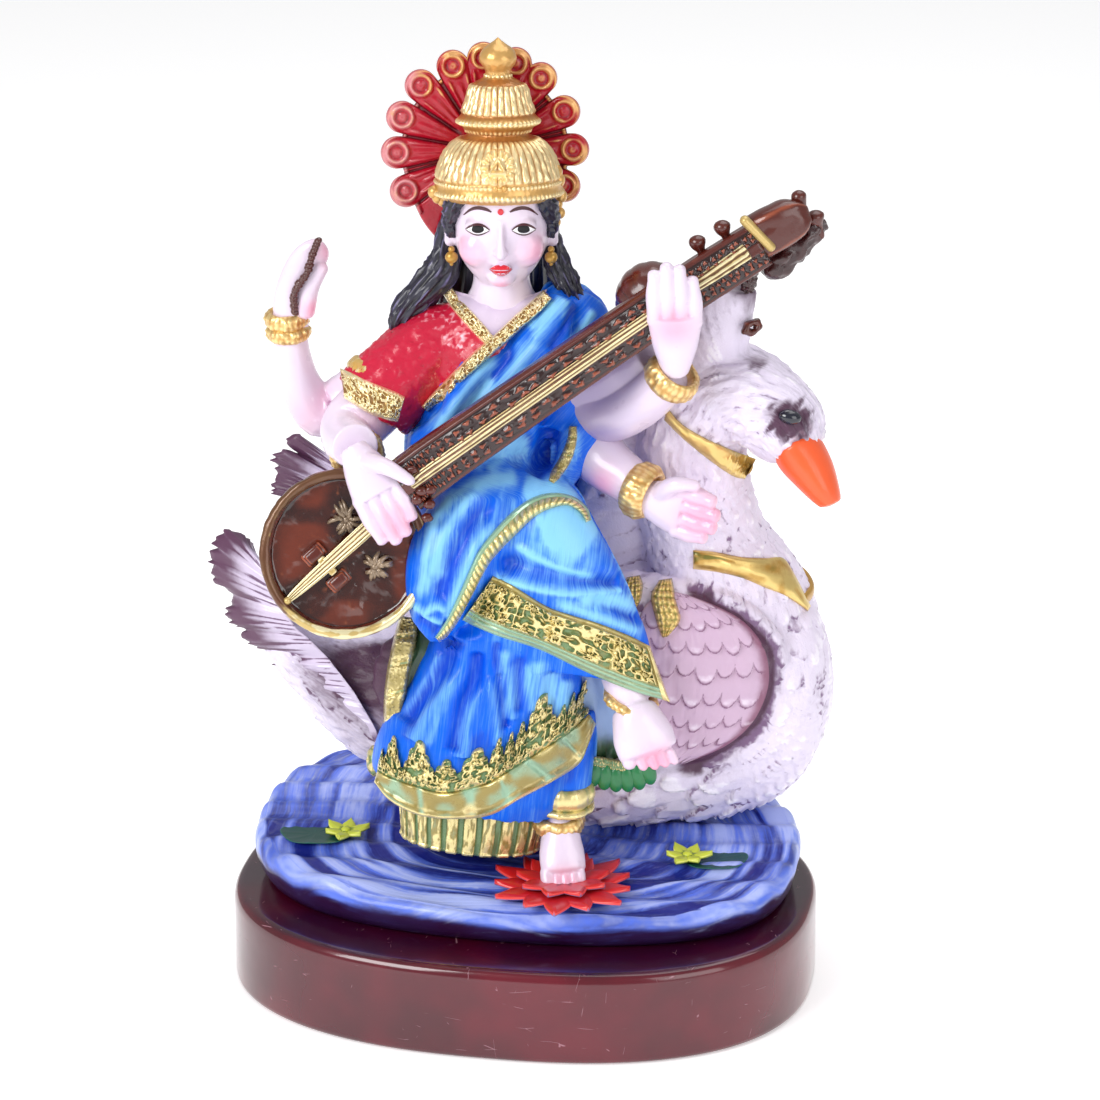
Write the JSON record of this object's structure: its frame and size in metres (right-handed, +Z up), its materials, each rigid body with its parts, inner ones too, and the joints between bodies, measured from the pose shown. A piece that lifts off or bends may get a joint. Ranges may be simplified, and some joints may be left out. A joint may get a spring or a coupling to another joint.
{
  "type": "saraswati figure",
  "caption": "Painted resin figurine of a goddess playing a veena, seated on a swan over rippled water, on a low oval plinth.",
  "frame": {"origin": "centre of the plinth's flat underside", "axes": "+X along the plinth's length to the viewer's right, +Y to the back, +Z up"},
  "size_m": [0.1153, 0.082, 0.1785],
  "materials": {
    "plinth_lacquer": "deep maroon high-gloss lacquer with fine scratches",
    "painted_resin": "hand-painted cast resin, satin",
    "skin_paint": "pale skin paint with pink airbrushed fingertips, satin",
    "sari_blue": "blue paint airbrushed from deep to pale along the folds, satin gloss",
    "blouse_red": "red paint over textured relief, satin",
    "gilt_paint": "gold paint dry-brushed over green relief, metallic satin",
    "veena_varnish": "brown varnish with dark recesses and gilt edges, gloss",
    "swan_white": "off-white lilac paint with purple-brown shading, satin matte",
    "beak_orange": "orange paint, satin",
    "hair_black": "blue-black paint, satin",
    "halo_red": "red paint with gilt edges, satin gloss",
    "water_indigo": "indigo paint with pale dry-brushed crests and gloss dark sides",
    "lotus_red": "red paint, satin gloss",
    "leaf_green": "dark green paint with yellow-green flowers, satin"
  },
  "bodies": {
    "root": {"plinth": "plinth_lacquer", "goddess_on_swan": "painted_resin"}
  },
  "joints": []
}
